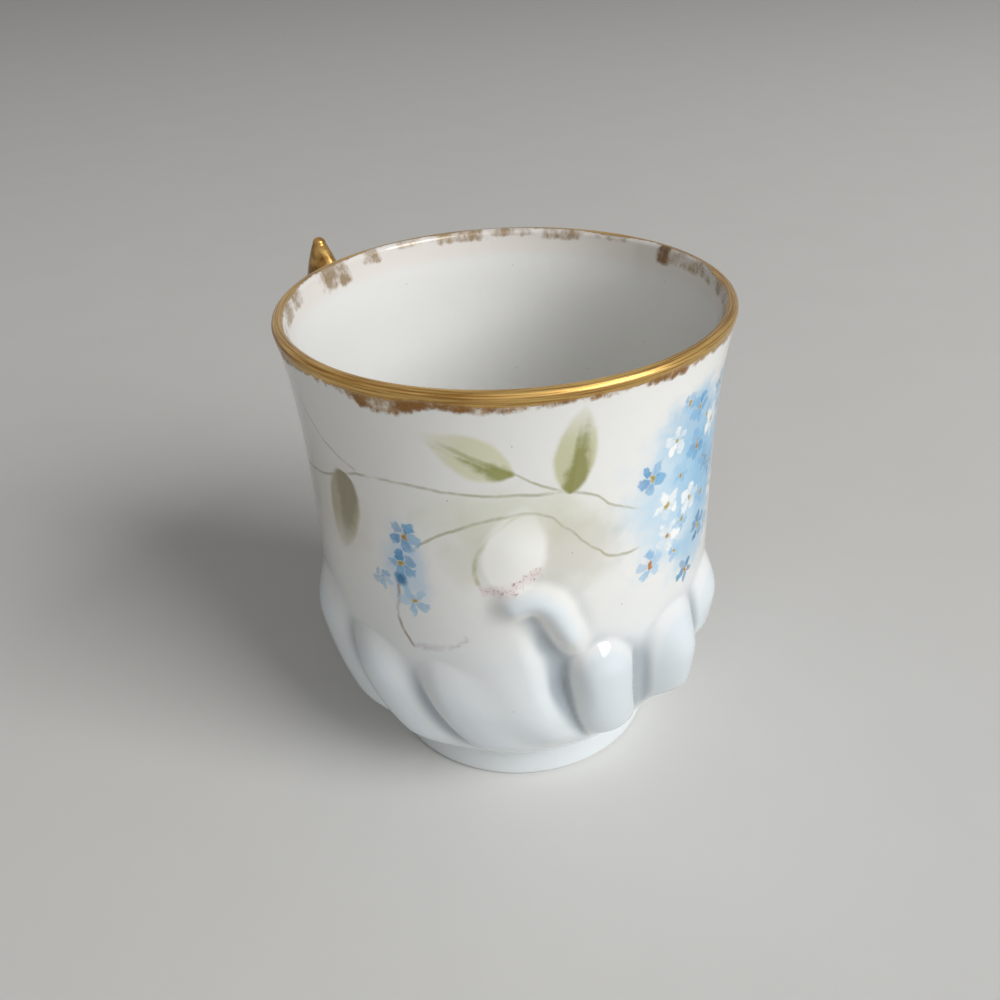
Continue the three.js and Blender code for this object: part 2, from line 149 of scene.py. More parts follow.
def body_profile():
    """Radius and height along the section, from the middle of the underside over the lip to the middle of the
    floor, as a list of its stretches."""
    face = FOOT_RADIUS - FOOT_ROUND
    inner = face - FOOT_FACE
    slope = inner - RECESS_SLOPE
    under = [(4, RECESS), (9, RECESS), (14, RECESS), (slope - 0.3, RECESS), (slope, RECESS - 0.05),
             (slope + 0.25, RECESS - 0.35), (inner - 0.2, 0.3), (inner - 0.03, 0.05), (inner + 0.08, 0),
             (inner + 0.4, 0), (face - 0.3, 0), (face, 0)]
    a = np.linspace(0.2, np.pi / 2, 6)
    bead = np.stack([face + FOOT_ROUND * np.sin(a), FOOT_ROUND - FOOT_ROUND * np.cos(a)], 1)
    a = np.linspace(0, np.pi / 2, 7)
    groove = np.stack([FOOT_RADIUS - GROOVE * (1 - np.cos(a)), FOOT_HEIGHT - GROOVE + GROOVE * np.sin(a)], 1)
    side = np.stack([np.full(6, FOOT_RADIUS), np.linspace(FOOT_ROUND + 0.4, FOOT_HEIGHT - GROOVE - 0.2, 6)], 1)
    a = np.linspace(np.pi / 2, 0, 86)[1:]
    z = np.concatenate([BELLY_TOP - BELLY_HEIGHT * np.sin(a) ** (2 / BELLY_FULLNESS),
                        np.linspace(BELLY_TOP, BELLY_TOP + 24, 50)[1:],
                        np.linspace(BELLY_TOP + 24, LIP_EQUATOR, 14)[1:]])
    outside = np.stack([outer_radius(z), z], 1)
    a = np.linspace(0, np.pi, 15)[1:]
    lip = np.stack([RIM_RADIUS - LIP / 2 + LIP / 2 * np.cos(a), LIP_EQUATOR + LIP / 2 * np.sin(a)], 1)
    z = np.linspace(LIP_EQUATOR, BELLY_TOP, 24)[1:]
    inside = np.stack([inner_radius(z), z], 1)
    a = np.linspace(0, np.pi / 2, 32)[1:-1]
    depth = (BELLY_TOP - RECESS - FLOOR) * np.sin(a) ** (2 / FLOOR_FULLNESS)
    bowl = np.stack([(WAIST - WALL) * np.cos(a) ** (2 / FLOOR_FULLNESS), BELLY_TOP - depth], 1)
    return [np.array(under), bead, side, groove, outside, lip, inside, bowl]


def add_mesh(name, grid, uv, ends=None, closed_rows=False):
    """A mesh from a grid of points (rows, columns, xyz in mm about the cup's axis). It closes on itself across its
    columns, and across its rows too if asked. Two end points close it as fans. uv holds the coordinate at each
    row and column, with one more column, and with one more row if the rows close."""
    rows, columns = grid.shape[:2]
    i, j = np.meshgrid(np.arange(rows if closed_rows else rows - 1), np.arange(columns), indexing="ij")
    i, j = i.ravel(), j.ravel()
    i1, j1 = (i + 1) % rows, (j + 1) % columns
    quads = np.stack([i * columns + j, i * columns + j1, i1 * columns + j1, i1 * columns + j], 1)
    corner = np.stack([uv[i, j], uv[i, j + 1], uv[i + 1, j + 1], uv[i + 1, j]], 1)
    faces, corners = [quads.tolist()], [corner.reshape(-1, 2)]
    points = grid.reshape(-1, 3)
    if ends is not None:
        points = np.concatenate([points, ends])
        k = np.arange(columns)
        k1 = (k + 1) % columns
        last = (rows - 1) * columns
        first_fan = np.stack([k1, k, np.full(columns, rows * columns)], 1)
        last_fan = np.stack([last + k, last + k1, np.full(columns, rows * columns + 1)], 1)
        faces += [first_fan.tolist(), last_fan.tolist()]
        corners += [np.stack([uv[0, k + 1], uv[0, k], uv[0, k]], 1).reshape(-1, 2),
                    np.stack([uv[-1, k], uv[-1, k + 1], uv[-1, k]], 1).reshape(-1, 2)]
    mesh = bpy.data.meshes.new(name)
    mesh.from_pydata(((points + [AXIS_X, 0, 0]) * MM).tolist(), [], sum(faces, []))
    mesh.uv_layers.new(name="place").data.foreach_set("uv", np.concatenate(corners).astype(np.float32).ravel())
    mesh.shade_smooth()
    piece = bpy.data.objects.new(name, mesh)
    bpy.context.scene.collection.objects.link(piece)
    return piece


def turned(radius, angle, z):
    """Points at a radius and an angle in degrees about the cup's axis."""
    return np.stack([radius * np.cos(np.radians(angle)), radius * np.sin(np.radians(angle)), z], -1)


sections = body_profile()
profile = np.concatenate(sections)
starts = np.cumsum([len(s) for s in sections])
run = np.concatenate([[0], np.cumsum(np.linalg.norm(np.diff(profile, axis=0), axis=1))])
# the second paint coordinate: the height on the outside, and the way along the section elsewhere
height = profile[:, 1].copy()
height[:starts[0]] = run[:starts[0]] - run[starts[0]]
height[starts[4]:] = LIP_EQUATOR + run[starts[4]:] - run[starts[4] - 1]
BODY_COLUMNS = 360
angles = np.linspace(0, 360, BODY_COLUMNS + 1)
angle_grid, z_grid = np.meshgrid(angles[:-1], profile[:, 1])
moulded = np.zeros_like(angle_grid)
moulded[starts[3]:starts[4]] = relief(angle_grid[starts[3]:starts[4]], z_grid[starts[3]:starts[4]])
body_uv = np.stack(np.meshgrid(np.radians(angles) * PAINT_RADIUS, height), -1)
body = add_mesh("cup", turned(profile[:, :1] + moulded, angle_grid, z_grid), body_uv,
                ends=np.array([[0, 0, RECESS], [0, 0, RECESS + FLOOR]]))


def smeared(values, reach):
    """Mean over a square of neighbours, round the columns and held at the first and last row."""
    wide = sum(np.roll(values, k, axis=1) for k in range(-reach, reach + 1)) / (2 * reach + 1)
    held = np.pad(wide, ((reach, reach), (0, 0)), mode="edge")
    return sum(held[k:k + len(values)] for k in range(2 * reach + 1)) / (2 * reach + 1)


def mark(piece, name, values):
    """One number at every point of a piece, for its material to read."""
    data = piece.data.attributes.new(name, "FLOAT", "POINT").data
    data.foreach_set("value", values.astype(np.float32).ravel())


# how far a place lies below its surroundings, and how far it stands out; the material paints shade into the
# hollows and sheen onto the swells from these
mark(body, "valley", np.concatenate([(smeared(moulded, 7) - moulded).ravel(), [0, 0]]))
mark(body, "swell", np.concatenate([moulded.ravel(), [0, 0]]))


# PAINTED SPRAYS
# Sprays of forget-me-nots, leaves and thin stems in enamel colours, brushed on the fired glaze by hand and fired
# again. Soft washes of pale blue and green lie under the flowers, and the moulded base is tinted pale blue. Light
# and shade are painted in too: the base is bluer lower down and on the swelling ribs as painted shade and sheen,
# the hollows between the ribs are darkened as painted shade, and grey beside the white drop is painted shade.
def node(tree, kind, *values, **settings):
    """One shader node. Values go to its sockets in order: a socket is linked, a number or a colour is set, and
    None leaves the socket as it is."""
    made = tree.nodes.new("ShaderNode" + kind)
    for key, value in settings.items():
        setattr(made, key, value)
    for socket, value in zip(made.inputs, values):
        if isinstance(value, bpy.types.NodeSocket):
            tree.links.new(value, socket)
        elif value is not None:
            socket.default_value = value
    return made


def calc(tree, operation, *values):
    """The result of one Math node."""
    return node(tree, "Math", *values, operation=operation).outputs[0]


def step(tree, value, low, high, top=1.0):
    """A smooth step from 0 at low to top at high, which may be the smaller one. It stays in its range by itself,
    and without the node's own clamp a long chain of steps is lighter to render."""
    made = node(tree, "MapRange", value, low, high, 0.0, top, interpolation_type="SMOOTHSTEP", clamp=False)
    return made.outputs[0]


def laid_over(tree, amount, under, over):
    """One colour laid over another by an amount from 0 to 1."""
    skipped = [None] * 5                        # the sockets for mixing numbers and vectors
    return node(tree, "Mix", amount, *skipped, under, over, data_type="RGBA").outputs[2]


def rgb(code):
    """An opaque colour as light, from its six hexadecimal digits."""
    c = np.array([int(code[k:k + 2], 16) for k in (0, 2, 4)]) / 255
    return (*np.where(c <= 0.04045, c / 12.92, ((c + 0.055) / 1.055) ** 2.4), 1.0)


def new_material(name):
    """A new material with its node tree and its shader."""
    made = bpy.data.materials.new(name)
    made.use_nodes = True
    return made, made.node_tree, made.node_tree.nodes["Principled BSDF"]


def marked(tree, name):
    """The number that was marked on the piece under a name."""
    return node(tree, "Attribute", attribute_name=name, attribute_type="GEOMETRY").outputs["Fac"]


def bumped(tree, shader, height, strength, depth):
    """Small unevenness of the surface from a height, with its depth in metres."""
    bump = node(tree, "Bump", strength, depth)
    tree.links.new(height, bump.inputs["Height"])
    tree.links.new(bump.outputs[0], shader.inputs["Normal"])


def new_group(name, inputs, outputs):
    """An empty shader group with named sockets: its tree, its inputs by name and its output node."""
    tree = bpy.data.node_groups.new(name, "ShaderNodeTree")
    for label, kind in inputs:
        tree.interface.new_socket(label, in_out="INPUT", socket_type="NodeSocket" + kind)
    for label, kind in outputs:
        tree.interface.new_socket(label, in_out="OUTPUT", socket_type="NodeSocket" + kind)
    return tree, tree.nodes.new("NodeGroupInput").outputs, tree.nodes.new("NodeGroupOutput").inputs


def from_point(tree, place, across, up):
    """The two offsets of a place on the wall from a point on it."""
    return calc(tree, "SUBTRACT", place[0], across), calc(tree, "SUBTRACT", place[1], up)


def distance(tree, x, y):
    """The length of two offsets at right angles."""
    return calc(tree, "SQRT", calc(tree, "ADD", calc(tree, "MULTIPLY", x, x), calc(tree, "MULTIPLY", y, y)))


PETALS = 5
# a dab in parts of the flower's size: its middle from the eye, half length and half width; then the soft edges of
# the dab, the eye and the dot in the eye
DAB_MIDDLE, DAB_LENGTH, DAB_WIDTH = 0.58, 0.43, 0.31
DAB_EDGE, EYE_EDGE, DOT_EDGE = (1.18, 0.72), (0.25, 0.12), (0.1, 0.03)


def flower_group():
    """Five oval dabs of the brush round an eye. Each dab has its own length, width, tone and load of paint, from
    sines of its number and the flower's place."""
    tree, given, out = new_group(
        "forget_me_not",
        [("X", "Float"), ("Y", "Float"), ("Brush", "Float"), ("Under", "Color"), ("Across", "Float"),
         ("Up", "Float"), ("Size", "Float"), ("Turn", "Float"), ("Petal", "Color"), ("Shade", "Color"),
         ("Eye", "Color"), ("Load", "Float")], [("Colour", "Color")])
    x, y = from_point(tree, (given["X"], given["Y"]), given["Across"], given["Up"])
    far = calc(tree, "DIVIDE", distance(tree, x, y), given["Size"])
    way = calc(tree, "ADD", calc(tree, "ARCTAN2", y, x), given["Turn"])
    dab = calc(tree, "ROUND", calc(tree, "MULTIPLY", way, PETALS / (2 * np.pi)))
    off = calc(tree, "SUBTRACT", way, calc(tree, "MULTIPLY", dab, 2 * np.pi / PETALS))
    flower = calc(tree, "ADD", given["Across"], given["Up"])
    which = calc(tree, "MULTIPLY_ADD", calc(tree, "FLOORED_MODULO", dab, PETALS), 7.3, flower)
    chance = [calc(tree, "SINE", calc(tree, "MULTIPLY", which, k)) for k in (1.0, 2.3, 3.1)]
    along = calc(tree, "SUBTRACT", calc(tree, "MULTIPLY", far, calc(tree, "COSINE", off)), DAB_MIDDLE)
    along = calc(tree, "DIVIDE", along, calc(tree, "MULTIPLY_ADD", chance[0], 0.07, DAB_LENGTH))
    across = calc(tree, "MULTIPLY", far, calc(tree, "SINE", off))
    across = calc(tree, "DIVIDE", across, calc(tree, "MULTIPLY_ADD", chance[1], 0.06, DAB_WIDTH))
    petal = step(tree, distance(tree, along, across), *DAB_EDGE)
    petal = calc(tree, "MULTIPLY", petal, calc(tree, "MULTIPLY_ADD", chance[2], 0.18, 0.82))
    petal = calc(tree, "MULTIPLY", petal, given["Load"])
    tone = calc(tree, "MULTIPLY_ADD", chance[0], 0.25, given["Brush"])
    tone = calc(tree, "ADD", tone, calc(tree, "MULTIPLY", along, 0.2))
    colour = laid_over(tree, step(tree, tone, 0.1, 0.7), given["Shade"], given["Petal"])
    colour = laid_over(tree, petal, given["Under"], colour)
    colour = laid_over(tree, step(tree, far, *EYE_EDGE, 0.9), colour, given["Eye"])
    colour = laid_over(tree, step(tree, far, *DOT_EDGE, 0.5), colour, rgb("6A4A18"))
    tree.links.new(colour, out["Colour"])
    return tree


def leaf_group():
    """A leaf along its own direction: its width follows a sine of its length, and one half is washed darker at the
    base."""
    tree, given, out = new_group(
        "leaf",
        [("X", "Float"), ("Y", "Float"), ("Brush", "Float"), ("Under", "Color"), ("Across", "Float"),
         ("Up", "Float"), ("Length", "Float"), ("Half width", "Float"), ("Turn", "Float"), ("Pale", "Color"),
         ("Deep", "Color"), ("Side", "Float"), ("Blunt", "Float"), ("Wedge", "Float")], [("Colour", "Color")])
    x, y = from_point(tree, (given["X"], given["Y"]), given["Across"], given["Up"])
    c, s = calc(tree, "COSINE", given["Turn"]), calc(tree, "SINE", given["Turn"])
    along = calc(tree, "ADD", calc(tree, "MULTIPLY", x, c), calc(tree, "MULTIPLY", y, s))
    along = calc(tree, "DIVIDE", along, given["Length"])
    off = calc(tree, "SUBTRACT", calc(tree, "MULTIPLY", y, c), calc(tree, "MULTIPLY", x, s))
    off = calc(tree, "DIVIDE", off, given["Half width"])
    kept = calc(tree, "MINIMUM", calc(tree, "MAXIMUM", along, 0.0), 1.0)
    bow = calc(tree, "SINE", calc(tree, "MULTIPLY", calc(tree, "POWER", kept, 0.8), np.pi))
    bow = calc(tree, "POWER", calc(tree, "MAXIMUM", bow, 0.0), given["Blunt"])
    cover = step(tree, calc(tree, "SUBTRACT", bow, calc(tree, "ABSOLUTE", off)), 0.0, 0.28)
    side = calc(tree, "MULTIPLY", off, given["Side"])
    wedge = calc(tree, "MAXIMUM", calc(tree, "SUBTRACT", given["Wedge"], along), 0.0)
    wedge = calc(tree, "MULTIPLY_ADD", wedge, 0.9, given["Brush"])
    beside = calc(tree, "ABSOLUTE", calc(tree, "SUBTRACT", side, 0.22))
    deep = step(tree, calc(tree, "SUBTRACT", beside, wedge), 0.16, -0.3, 0.9)
    rib = step(tree, calc(tree, "ABSOLUTE", off), 0.16, 0.02, 0.5)
    rib = calc(tree, "MULTIPLY", rib, step(tree, along, 0.9, 0.6))
    colour = laid_over(tree, deep, given["Pale"], given["Deep"])
    colour = laid_over(tree, rib, colour, given["Deep"])
    thin = calc(tree, "MULTIPLY", cover, step(tree, along, 1.15, 0.5, 0.92))
    tree.links.new(laid_over(tree, thin, given["Under"], colour), out["Colour"])
    return tree


forget_me_not, leaf = flower_group(), leaf_group()
FRONT = 137.4                                   # the painted front, in degrees from the handle


def spot(angle, z):
    """A place on the unrolled wall in mm, from degrees round from the painted front and the height."""
    return np.radians(angle + FRONT) * PAINT_RADIUS, z


def painted(tree, group, place, brush, under, **values):
    """One flower or leaf laid over the colour so far: the new colour."""
    made = node(tree, "Group", *place, brush, under, node_tree=group)
    for key, value in values.items():
        made.inputs[key.replace("_", " ")].default_value = value
    return made.outputs["Colour"]


def stem(tree, place, under, points, half_width, colour, strength, broken, upright=False):
    """A brushed line through points on the wall: how near a place is to a curve of height over angle, or of angle
    over height for an upright one."""
    line = np.array([spot(*p) for p in points])
    if upright:
        line = line[:, ::-1]
    line = line[np.argsort(line[:, 0])]
    low, span = line.min(0), np.ptp(line, axis=0) + 1e-6
    here, there = (place[1], place[0]) if upright else place
    share = calc(tree, "DIVIDE", calc(tree, "SUBTRACT", here, low[0]), span[0])
    curve = node(tree, "FloatCurve", 1.0, share)
    shape = curve.mapping.curves[0]
    for k, (x, y) in enumerate((line - low) / span):
        if k < 2:
            shape.points[k].location = (x, y)
        else:
            shape.points.new(x, y)
    curve.mapping.update()
    level = calc(tree, "MULTIPLY_ADD", curve.outputs[0], span[1], low[1])
    off = calc(tree, "ABSOLUTE", calc(tree, "SUBTRACT", there, level))
    slope = np.abs(np.diff(line[:, 1]) / np.maximum(np.diff(line[:, 0]), 0.1)).mean()
    mask = step(tree, off, 1.35 * half_width * np.hypot(1, slope), 0.2 * half_width, strength)
    ends = calc(tree, "MULTIPLY", step(tree, share, 0.0, 0.06), step(tree, share, 1.0, 0.94))
    mask = calc(tree, "MULTIPLY", calc(tree, "MULTIPLY", mask, ends), broken)
    return laid_over(tree, mask, under, rgb(colour))


def wash(tree, place, under, centre, half_sizes, colour, strength, fray):
    """A soft oval of thin colour, whose edge is frayed by a cloudy noise."""
    x, y = from_point(tree, place, *spot(*centre))
    x, y = calc(tree, "DIVIDE", x, half_sizes[0]), calc(tree, "DIVIDE", y, half_sizes[1])
    far = calc(tree, "ADD", distance(tree, x, y), fray)
    return laid_over(tree, step(tree, far, 1.05, 0.3, strength), under, rgb(colour))


# the petals' colour, their shade and their load of paint; then the colours of the eyes
BLUE, PALE = ("7CB4DC", "4890C4", 0.92), ("A4CCE8", "7EB0D8", 0.8)
DEEP, WHITE = ("4A94C0", "2A70A0", 0.92), ("FDFDFA", "D6E3EC", 1.0)
OLIVE, YELLOW, AMBER, RUST, SKY = "BCA23A", "C2A838", "B98A20", "C07A28", "A9C9E8"
PETAL_REACH = 1.25                              # how far the dabs reach beyond the flower's radius
# each flower: degrees from the painted front, height, radius, turn, petals, eye
FLOWERS = [
    (49.5, 43.8, 1.5, 0.5, PALE, OLIVE), (58.5, 57.2, 1.6, 0.2, PALE, OLIVE),
    (60.5, 50.6, 1.6, 0.8, BLUE, OLIVE), (67, 60.0, 1.6, 0.6, BLUE, AMBER),
    (69.5, 56.0, 1.7, 0.1, PALE, OLIVE), (60.5, 45.2, 1.6, 0.4, PALE, OLIVE),
    (47, 39.6, 1.4, 0.9, PALE, OLIVE), (47.5, 61.0, 1.4, 0.3, PALE, OLIVE),
    (79.5, 48.0, 1.7, 0.7, BLUE, OLIVE), (80, 60.5, 1.6, 0.2, PALE, OLIVE),
    (66.5, 38.6, 1.6, 0.5, PALE, OLIVE), (36, 52.8, 1.95, 0.3, BLUE, OLIVE),
    (44, 56.4, 1.75, 0.9, WHITE, YELLOW), (53, 59.5, 1.85, 0.1, BLUE, OLIVE),
    (54.5, 53.8, 2.0, 0.6, BLUE, AMBER), (42.5, 47.6, 1.9, 0.5, WHITE, YELLOW),
    (53, 46.3, 1.9, 1.1, WHITE, YELLOW), (43.5, 42.7, 1.95, 0.2, WHITE, AMBER),
    (37, 39.7, 2.0, 0.8, PALE, RUST), (53, 34.8, 1.7, 0.4, DEEP, AMBER), (60, 40, 2.0, 0.9, DEEP, OLIVE),
    (63, 55.5, 1.9, 0.2, WHITE, YELLOW), (66, 48.5, 1.9, 0.5, BLUE, OLIVE), (72, 60.5, 1.8, 0.4, PALE, OLIVE),
    (75, 52.5, 1.9, 1.0, BLUE, AMBER), (72, 43.5, 1.9, 0.3, WHITE, YELLOW), (84, 57, 1.8, 0.7, WHITE, YELLOW),
    (86, 47.5, 1.8, 0.1, PALE, OLIVE), (47.5, 51.2, 1.5, 0.2, PALE, OLIVE),
    (-28, 47.4, 1.95, 0.2, BLUE, AMBER), (-29.5, 42.9, 1.95, 0.7, BLUE, OLIVE),
    (-27.2, 37.6, 1.9, 0.4, PALE, OLIVE), (-36.5, 39.8, 1.4, 0.3, PALE, SKY),
    (162, 52, 1.95, 0.5, BLUE, OLIVE), (170, 47.5, 1.8, 0.2, WHITE, YELLOW),
    (155, 46.5, 1.8, 0.9, PALE, OLIVE), (176, 54, 1.7, 0.6, PALE, OLIVE), (-106, 58, 1.8, 0.3, BLUE, OLIVE),
    (-98, 52.5, 1.7, 0.9, WHITE, YELLOW),
]
# each leaf: its base, length, half width, direction in degrees, pale and deep colour, which half is dark, how
# pointed its ends are and how far along it is dark
LEAVES = [
    (1, 57.4, 12.4, 3.2, 153, "DADABC", "868820", 1, 0.9, 0.6),
    (13.4, 54.0, 12.4, 2.9, 83, "C6C6A0", "7E7E1C", -1, 0.7, 0.85),
    (-45.5, 54.0, 13.2, 3.5, 256, "B4AB88", "8E8460", 1, 0.45, 1.0),
    (144, 50, 11.0, 2.4, 165, "D3D5AE", "8F9D38", 1, 1.0, 0.7),
    (186, 50, 11.0, 2.3, 20, "C6CB9C", "7E8F22", -1, 1.0, 0.7),
    (-112, 52, 10.5, 2.2, 200, "D3D5AE", "8F9D38", -1, 1.0, 0.7),
]
# each stem: its points as angle and height, half width, colour, strength, and whether it stands upright
STEMS = [
    ([(-76, 49.4), (-60, 51), (-50, 52.7), (-40, 54.6), (-28, 55.2), (-10, 54.8), (6, 54.6), (15, 54.2),
      (24, 51.4), (34, 48.9)], 0.24, "A2A182", 0.7, False),
    ([(0, 58), (6, 56), (12, 54.6)], 0.22, "979C6C", 0.7, False),
    ([(-64, 62), (-55, 58.2), (-48, 56.3), (-40, 55)], 0.2, "A9A88E", 0.62, False),
    ([(-27, 45), (-15, 49.4), (0, 51.9), (4, 52.1), (12, 49.6), (20, 45.6), (27, 43.4), (34, 43.4)],
     0.25, "A2A07C", 0.7, False),
    ([(-31.3, 40.0), (-32.0, 37.0), (-32.8, 35.0), (-32.0, 33.0), (-29.3, 30.3), (-28.4, 29.6)],
     0.3, "8A6E54", 0.75, True),
    ([(2, 52), (-6, 48.5), (-10, 44), (-9, 41.3)], 0.36, "A2A566", 0.65, True),
    ([(130, 47), (144, 50), (156, 51), (166, 50), (178, 49.5), (190, 51)], 0.28, "9C9B78", 0.7, False),
    ([(-126, 50), (-112, 52), (-100, 55.5), (-88, 53), (-76, 49.4)], 0.28, "9C9B78", 0.7, False),
]
# each wash: its middle, half sizes in mm, colour and strength; the grey washes right and left of the white drop
# are partly wash and partly painted shade beside the drop's swell
WASHES = [
    ((55, 49), (17, 15), "B4D8F0", 0.8), ((70, 50), (13, 14), "9CCCEC", 0.75), ((51, 58), (7, 6), "80BAE0", 0.65),
    ((60, 49), (5, 9), "80BAE0", 0.65), ((50, 50), (4, 5), "94C6E6", 0.5), ((57, 38), (6, 6), "86BCDE", 0.55),
    ((-29, 43), (4.5, 8.0), "B4D2EE", 0.6), ((0, 51), (14, 6), "C9CDA8", 0.35), ((15, 46), (8, 8), "C8C5B2", 0.5),
    ((-11, 46), (5, 6), "CFCFBA", 0.4), ((-55, 48), (10, 10), "CFC5B0", 0.3), ((165, 49), (11, 8), "9CC6F0", 0.7),
    ((-101, 55), (8, 6), "A8CDF0", 0.6), ((150, 50), (12, 6), "CDD2AE", 0.25),
]


def unsteady(tree, uv, scale, reach):
    """A place on the wall as two sockets, moved to and fro by a noise as an unsteady hand moves the brush."""
    shake = node(tree, "TexNoise", uv, None, scale, 2.0, 0.5).outputs[1]
    shift = node(tree, "VectorMath", shake, (0.5, 0.5, 0.5), operation="SUBTRACT").outputs[0]
    shift = node(tree, "VectorMath", shift, (reach, reach, 0.0), operation="MULTIPLY").outputs[0]
    moved = node(tree, "VectorMath", uv, shift, operation="ADD").outputs[0]
    return tuple(node(tree, "SeparateXYZ", moved).outputs[:2])


porcelain, tree, shader = new_material("painted_porcelain")
uv = node(tree, "UVMap", uv_map="place").outputs[0]
raw = node(tree, "SeparateXYZ", uv).outputs
cloud = node(tree, "TexNoise", uv, None, 0.22, 3.0, 0.55).outputs[0]
place, dab_place = unsteady(tree, uv, 0.5, 0.45), unsteady(tree, uv, 0.75, 1.9)
streak = calc(tree, "MULTIPLY_ADD", node(tree, "TexNoise", uv, None, 0.9, 3.0, 0.6).outputs[0], 0.5, -0.25)
bristle = calc(tree, "MULTIPLY", node(tree, "TexNoise", uv, None, 1.6, 2.0, 0.6).outputs[0], 0.9)
fray = calc(tree, "MULTIPLY_ADD", cloud, 0.9, -0.45)
grain = node(tree, "TexNoise", uv, None, 1.8, 4.0, 0.75).outputs[0]
pits = node(tree, "TexVoronoi", uv, None, 0.13, voronoi_dimensions="2D").outputs
specks = step(tree, pits["Distance"], 0.018, 0.007, 0.45)
specks = calc(tree, "MULTIPLY", specks, step(tree, pits["Color"], 0.68, 0.69))

# the glaze's white, and the pale blue of the base: partly a colour the base has, partly painted shade and sheen
warm, blue_tint_shade_and_sheen = rgb("EDEDEA"), rgb("DBE5EC")
valley = marked(tree, "valley")
swell = marked(tree, "swell")
# bluer towards the bottom and on the swelling ribs: painted shade lower down and a painted sheen on the rib
# crests, over the base's own pale blue
low = calc(tree, "ADD", raw[1], calc(tree, "MULTIPLY_ADD", cloud, 12.0, -6.0))
tint_shade_and_sheen = calc(tree, "MAXIMUM", step(tree, low, 42.0, 20.0, 0.6), step(tree, swell, 0.3, 1.6, 0.85))
colour = laid_over(tree, tint_shade_and_sheen, warm, blue_tint_shade_and_sheen)
# painted shade: the hollows between the ribs are darkened with blue-grey by how far they lie below their
# surroundings
colour = laid_over(tree, step(tree, valley, 0.06, 0.8, 0.75), colour, rgb("98A4AE"))
# the ghost of worn gold on the inside, just under the lip
ghost = calc(tree, "MULTIPLY", step(tree, raw[1], 74.0, 72.0, 0.5), step(tree, raw[1], 68.0, 69.0))
colour = laid_over(tree, ghost, colour, rgb("EDE2DA"))
for centre, half_sizes, paint, strength in WASHES:
    colour = wash(tree, place, colour, centre, half_sizes, paint, strength, fray)
dots = step(tree, grain, 0.5, 0.7)               # where dry colour caught
loaded = step(tree, cloud, 0.25, 0.6)            # where the brush was wet
for points, half_width, paint, strength, upright in STEMS:
    colour = stem(tree, place, colour, points, half_width, paint, strength, loaded, upright)
# the white drop above the hook, whiter than the glaze: partly white paint and partly a painted highlight on its
# slight swell; and the two blurred lines of dry mauve
across, up = spot(-3.0, 40.6)
colour = painted(tree, leaf, place, streak, colour, Across=across, Up=up, Length=13.2, Half_width=4.5,
                 Turn=np.radians(76.0), Pale=rgb("FCFCF8"), Deep=rgb("FCFCF8"), Side=1.0, Blunt=0.55, Wedge=0.0)
MAUVE = [(-10, 41.6), (-5, 40.7), (1, 42.0), (7, 44.0)]
TAIL = [(-30, 30.2), (-25.8, 30.4), (-20, 30.8), (-13, 33.0)]
colour = stem(tree, dab_place, colour, MAUVE, 0.8, "D9BDBE", 0.45, loaded)
colour = stem(tree, dab_place, colour, MAUVE, 0.6, "8A6A70", 0.75, dots)
colour = stem(tree, dab_place, colour, [(-1.5, 41.6), (2.0, 42.4), (6, 43.6)], 0.7, "A8304A", 0.8, dots)
colour = stem(tree, dab_place, colour, TAIL, 0.6, "C6BCC6", 0.4, loaded)
colour = stem(tree, dab_place, colour, TAIL, 0.5, "7E7088", 0.5, dots)
for angle, z, length, half_width, way, pale, deep, side, blunt, wedge in LEAVES:
    across, up = spot(angle, z)
    colour = painted(tree, leaf, place, streak, colour, Across=across, Up=up, Length=length,
                     Half_width=half_width, Turn=np.radians(way), Pale=rgb(pale), Deep=rgb(deep),
                     Side=float(side), Blunt=blunt, Wedge=wedge)
for angle, z, size, turn, petals, eye in FLOWERS:
    across, up = spot(angle, z)
    colour = painted(tree, forget_me_not, dab_place, bristle, colour, Across=across, Up=up,
                     Size=PETAL_REACH * size, Turn=turn, Petal=rgb(petals[0]), Shade=rgb(petals[1]),
                     Eye=rgb(eye), Load=petals[2])
colour = wash(tree, place, colour, (-30.6, 40.5), (1.3, 1.3), "2C78A6", 0.95, fray)
bare = step(tree, raw[1], -0.9, -1.6)            # the foot ring's standing face, free of glaze
bare = calc(tree, "MULTIPLY", bare, step(tree, raw[1], -4.2, -3.2))
colour = laid_over(tree, specks, colour, rgb("5E564C"))
colour = laid_over(tree, bare, colour, rgb("D9D3C6"))
tree.links.new(colour, shader.inputs["Base Color"])
gloss = calc(tree, "MULTIPLY_ADD", cloud, 0.06, 0.06)
tree.links.new(calc(tree, "MULTIPLY_ADD", bare, 0.5, gloss), shader.inputs["Roughness"])
ripple = node(tree, "TexNoise", uv, None, 0.35, 2.0, 0.5).outputs[0]
bumped(tree, shader, ripple, 0.12, 0.0004)
shader.inputs["IOR"].default_value = 1.52
body.data.materials.append(porcelain)
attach(body, "root")
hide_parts("cup_body")


# RIM GILDING
# Fired gold brushed round the lip in one turn of the wheel, with a ragged lower edge outside. Inside and on top it
# has worn away to strokes and patches, and the white glaze shows through.
GILT_FILM, GILT_BED = 0.03, 0.06                # how far the film stands out, and how deep its underside lies
GILT_OUTSIDE, GILT_INSIDE = 1.5, 4.2            # how far it comes down from the lip on either side
GILT_COLUMNS, GILT_ROWS = 720, 42
OVER_LIP = np.pi * LIP / 2                      # the way over the lip, from its outer equator to its inner one


def ragged(angle, waves, seed):
    """A wandering line round the cup between about -1 and 1: a sum of sines of rising count and falling height."""
    random = np.random.default_rng(seed)
    counts = random.integers(*waves, 14)
    phases = random.uniform(0, 2 * np.pi, 14)
    heights = random.uniform(0.4, 1.0, 14) / np.sqrt(counts)
    waves = (heights * np.sin(np.radians(angle)[:, None] * counts + phases)).sum(1)
    return waves / (0.8 * np.sqrt((heights ** 2).sum()))


